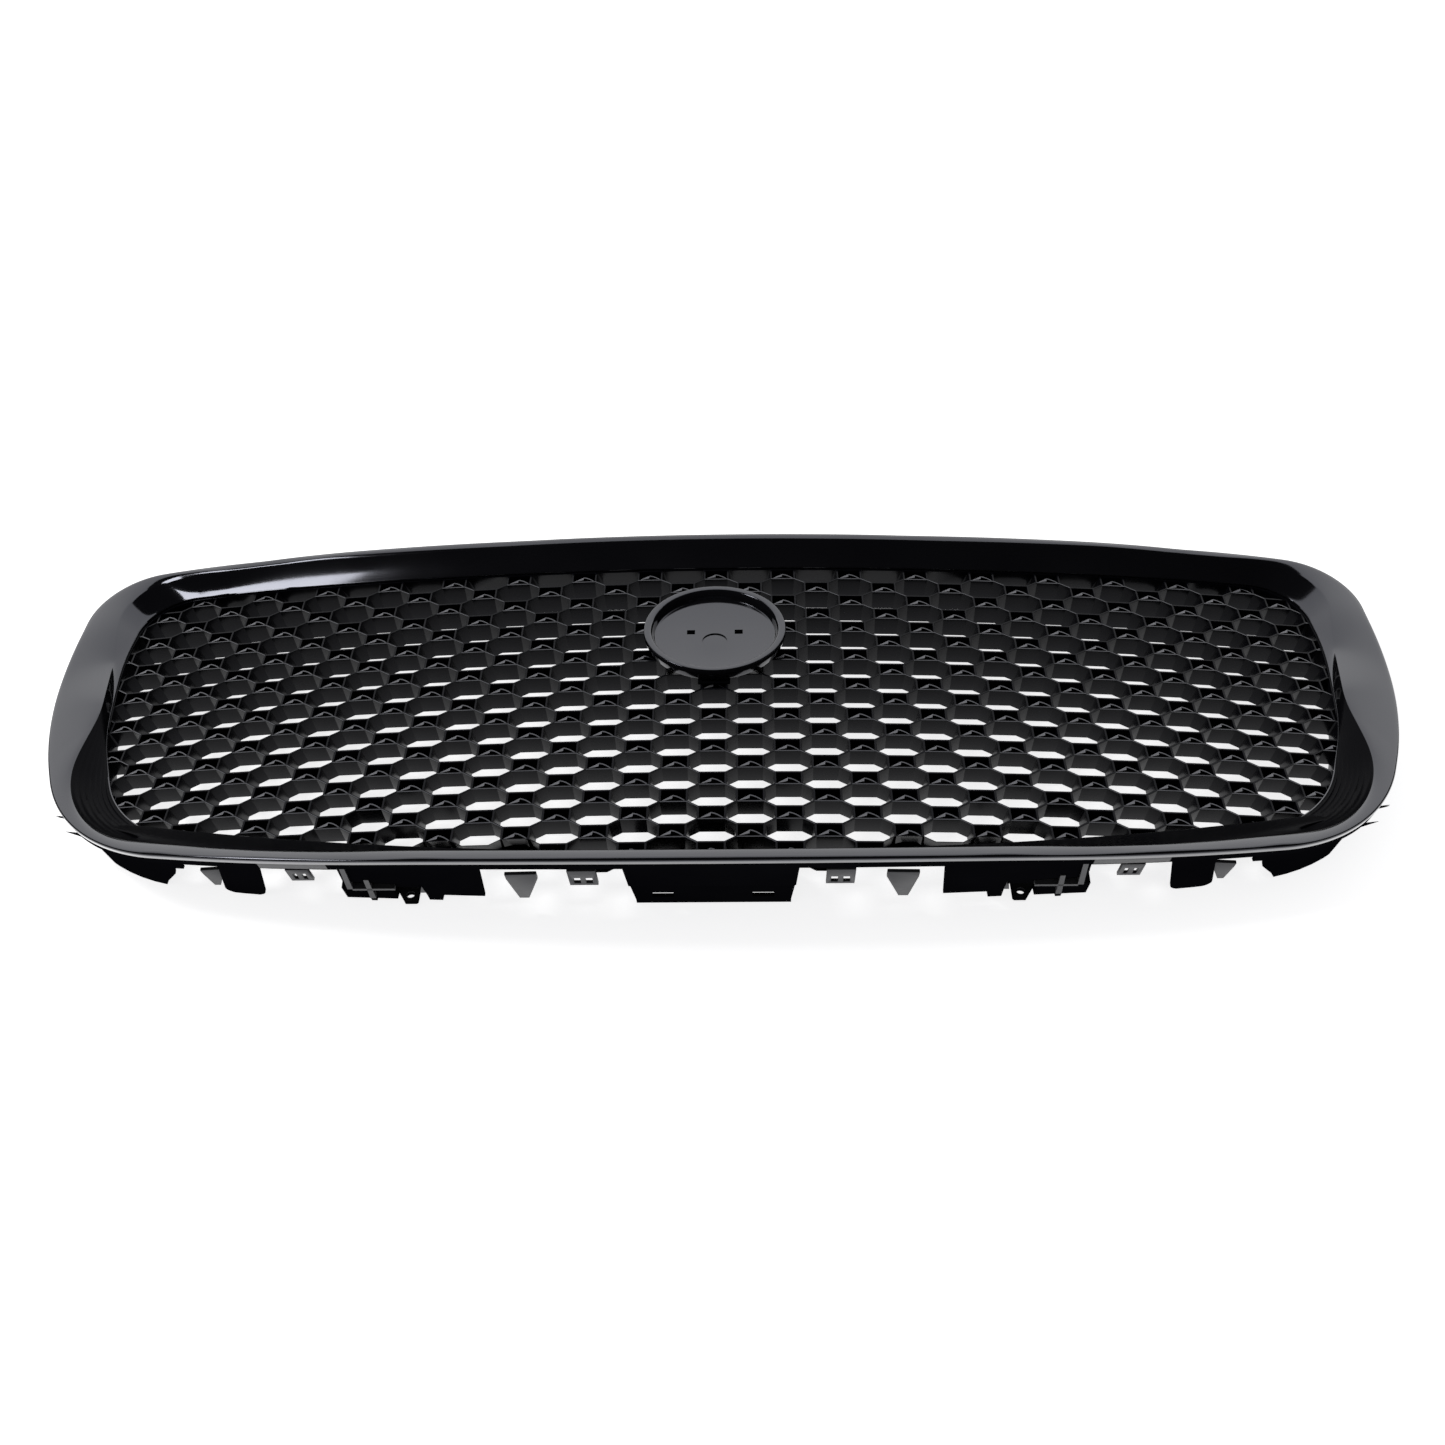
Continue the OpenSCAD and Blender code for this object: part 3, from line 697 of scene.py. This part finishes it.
def circle(x, y, r, n=48):
    return [(x + r * math.cos(2 * math.pi * k / n), y + r * math.sin(2 * math.pi * k / n)) for k in range(n)]


DISH_Z, DISH_T = BADGE_Z - BADGE_DEPTH, 2.2      # top and thickness of the dish's floor
WINDOW_X, WINDOW_HALF, WINDOW_Y0, WINDOW_Y1 = 16, 2.7, 0.6, 5.3
DIMPLE_Y, DIMPLE_R, DIMPLE_DEPTH = -6.7, 8.3, 0.8
CUP = [(0, DISH_Z - DISH_T), (BADGE_R - 2, DISH_Z - DISH_T), (BADGE_R - 0.2, BADGE_Z - 3.0),
       (BADGE_R - 0.6, BADGE_Z), (BADGE_R - 5.0, BADGE_Z - 0.2), (BADGE_R - 6.6, BADGE_Z - 2.4),
       (BADGE_R - 7.4, DISH_Z), (0, DISH_Z)]
CUP_ROUND = 0.9
cup_verts, cup_faces = lathe([(max(r, 0.0), z) for r, z in rounded_profile(CUP, CUP_ROUND)])
cup = make("badge_cup_shell", cup_verts, cup_faces, GLOSS, "badge_cup")


def window(side):
    x0, x1 = side * WINDOW_X - WINDOW_HALF, side * WINDOW_X + WINDOW_HALF
    y0, y1 = BADGE_Y + WINDOW_Y0, BADGE_Y + WINDOW_Y1
    return prism("cut_window", [(x0, y0), (x1, y0), (x1, y1), (x0, y1)], -4, 8)


dimple = circle(0, BADGE_Y + DIMPLE_Y, DIMPLE_R)
boolean(cup, [window(-1), window(1), prism("cut_dimple", dimple, DISH_Z - DIMPLE_DEPTH, DISH_Z + 4)])
crease(cup.data, 28)

# blank disc of the mesh panel under the badge: height and half axes of its levels
PAD = ((-DEPTH - 0.1, 42, 40), (-0.6, 43.6, 41.6), (0.1, 43, 41), (0.3, 41.5, 39.5))
PAD_STEPS = 72
pad_verts = [on_face(rx * a, BADGE_Y * CT + ry * CT * b, w) for w, rx, ry in PAD
             for a, b in circle(0, 0, 1, PAD_STEPS)]
pad_faces = [(k + j, k + (j + 1) % PAD_STEPS, k + PAD_STEPS + (j + 1) % PAD_STEPS, k + PAD_STEPS + j)
             for k in range(0, (len(PAD) - 1) * PAD_STEPS, PAD_STEPS) for j in range(PAD_STEPS)]
pad_faces += [tuple(reversed(range(PAD_STEPS))), tuple(range(len(pad_verts) - PAD_STEPS, len(pad_verts)))]
make("mesh_badge_pad", pad_verts, pad_faces, CELLS, "mesh_panel", smooth=30)

# ------------------------------------------------------------------ bare edges below the lip
# x and w of the side box's bare edges; the plates stand between two v
BOX_EDGES = [[(219, 3), (216, 3), (218.5, -35.5), (222, -35.5)],
             [(219, -35), (193, -35), (193, -38), (219, -38)],
             [(208.9, -19), (205.9, -19), (207.8, -53), (211.3, -53)],
             [(168, 3), (164.5, 3), (175, -43), (178.6, -43)]]
EDGE_FRONT, EDGE_BACK = -23.4, -19.6
EAR_X, EAR_Y, EAR_TOP, HOLE_R = 187.5, 8, FLOOR_Z + 5.6, 2.6         # screw ear of a side box
EAR_LOW, EAR_HIGH = EAR_TOP - 0.3, EAR_TOP + 0.15
EAR = [(-5.1, 3.6), (-4.2, 2.7), (2.5, 2.7), (9.1, 14.8), (9.1, 21.8), (-5.1, 21.8)]


def plates(shapes, place, low, high):
    """Flat plates on both sides; place turns side, the outline's two values and a level into a point."""
    verts, faces = [], []
    for side in (-1, 1):
        for shape in shapes:
            n, base = len(shape), len(verts)
            verts += [place(side, a, b, level) for level in (low, high) for a, b in shape]
            faces += [tuple(range(base, base + n)), tuple(range(base + n, base + 2 * n))]
            faces += [(base + k, base + (k + 1) % n, base + n + (k + 1) % n, base + n + k) for k in range(n)]
    return verts, faces


def edge_point(side, x, w, v):
    return world(side * x, v, w)


def ear_point(side, x, y, z):
    return face_point(side * (EAR_X + x), y, z)


edge_verts, edge_faces = plates(BOX_EDGES, edge_point, EDGE_FRONT, EDGE_BACK)
make("box_edges", edge_verts, edge_faces, GREY, None)
ear_verts, ear_faces = plates([EAR], ear_point, EAR_LOW, EAR_HIGH)
ears = make("ear_tops", ear_verts, ear_faces, GREY, None)
boolean(ears, [prism("cut_hole", circle(side * EAR_X, EAR_Y, HOLE_R), EAR_TOP - 2, EAR_TOP + 2)
               for side in (-1, 1)])

# ------------------------------------------------------------------ studio
CENTRE = Vector((0, (CAD_LO.y + CAD_HI.y) / 2, 0))


FLOOR_HALF, FLOOR_GAP = 2.6, 0.0003     # metres


def plain(name, colour, rough, glow):
    """Even material that gives off some light of its own."""
    mat = bpy.data.materials.new(name)
    mat.use_nodes = True
    bsdf = mat.node_tree.nodes["Principled BSDF"]
    bsdf.inputs["Base Color"].default_value = (*colour, 1)
    bsdf.inputs["Roughness"].default_value = rough
    bsdf.inputs["Emission Color"].default_value = (*colour, 1)
    bsdf.inputs["Emission Strength"].default_value = glow
    return mat


def stage_plane(name, half, z, material):
    corners = [(-half, -half, z), (half, -half, z), (half, half, z), (-half, half, z)]
    obj = link_mesh(name, corners, [(0, 1, 2, 3)])
    obj.data.materials.append(material)


stage_plane("studio_floor", FLOOR_HALF, CAD_LO.z - FLOOR_GAP,
            plain("studio_floor", (0.9, 0.9, 0.905), 0.9, 0.9))


def softbox(name, place, w, h, radiance, diffuse=True, aim=(0, 0, 0)):
    """Rectangular soft light; place and aim are from the part's centre, radiance is what a mirror shows."""
    data = bpy.data.lights.new(name, "AREA")
    data.shape = "RECTANGLE"
    data.size, data.size_y = w, h
    data.energy = radiance * math.pi * w * h
    obj = bpy.data.objects.new(name, data)
    obj.location = Vector(place) + CENTRE
    obj.rotation_euler = (Vector(aim) - Vector(place)).to_track_quat("-Z", "Y").to_euler()
    obj.visible_diffuse = diffuse
    bpy.context.scene.collection.objects.link(obj)


softbox("back_wall", (0, 2.7, 2.3), 8.0, 3.6, 1.95, diffuse=False, aim=(0, 0, 1.2))
softbox("top_left_box", (-1.6, -0.06, 2.3), 0.9, 0.55, 17)

world_look = bpy.data.worlds.new("studio")
bpy.context.scene.world = world_look
world_look.use_nodes = True
sky = world_look.node_tree.nodes["Background"]
sky.inputs["Color"].default_value = (1, 1, 1, 1)
sky.inputs["Strength"].default_value = 0.3
world_look.cycles_visibility.glossy = False
bpy.context.scene.view_settings.view_transform = "Standard"

# ------------------------------------------------------------------ camera
YAW, ROLL, RISE = math.radians(-2.683), math.radians(-2.279), math.radians(39)
DISTANCE = 1.1518                    # metres from the target
fwd = Vector((math.sin(YAW) * math.cos(RISE), math.cos(YAW) * math.cos(RISE), -math.sin(RISE)))
right = fwd.cross(Vector((0, 0, 1))).normalized()
up = right.cross(fwd)
cam_x = right * math.cos(ROLL) + up * math.sin(ROLL)
cam_y = up * math.cos(ROLL) - right * math.sin(ROLL)
target = face_point(-13.55, 119.49, 0)
place = target - fwd * DISTANCE
camera = bpy.data.objects.new("camera", bpy.data.cameras.new("camera"))
bpy.context.scene.collection.objects.link(camera)
camera.data.lens = 44.68
camera.data.sensor_width = 36
camera.data.shift_x = 0.0207
camera.data.shift_y = -0.0138
camera.data.clip_end = 60
camera.matrix_world = Matrix(((cam_x.x, cam_y.x, -fwd.x, place.x), (cam_x.y, cam_y.y, -fwd.y, place.y),
                              (cam_x.z, cam_y.z, -fwd.z, place.z), (0, 0, 0, 1)))
bpy.context.scene.camera = camera
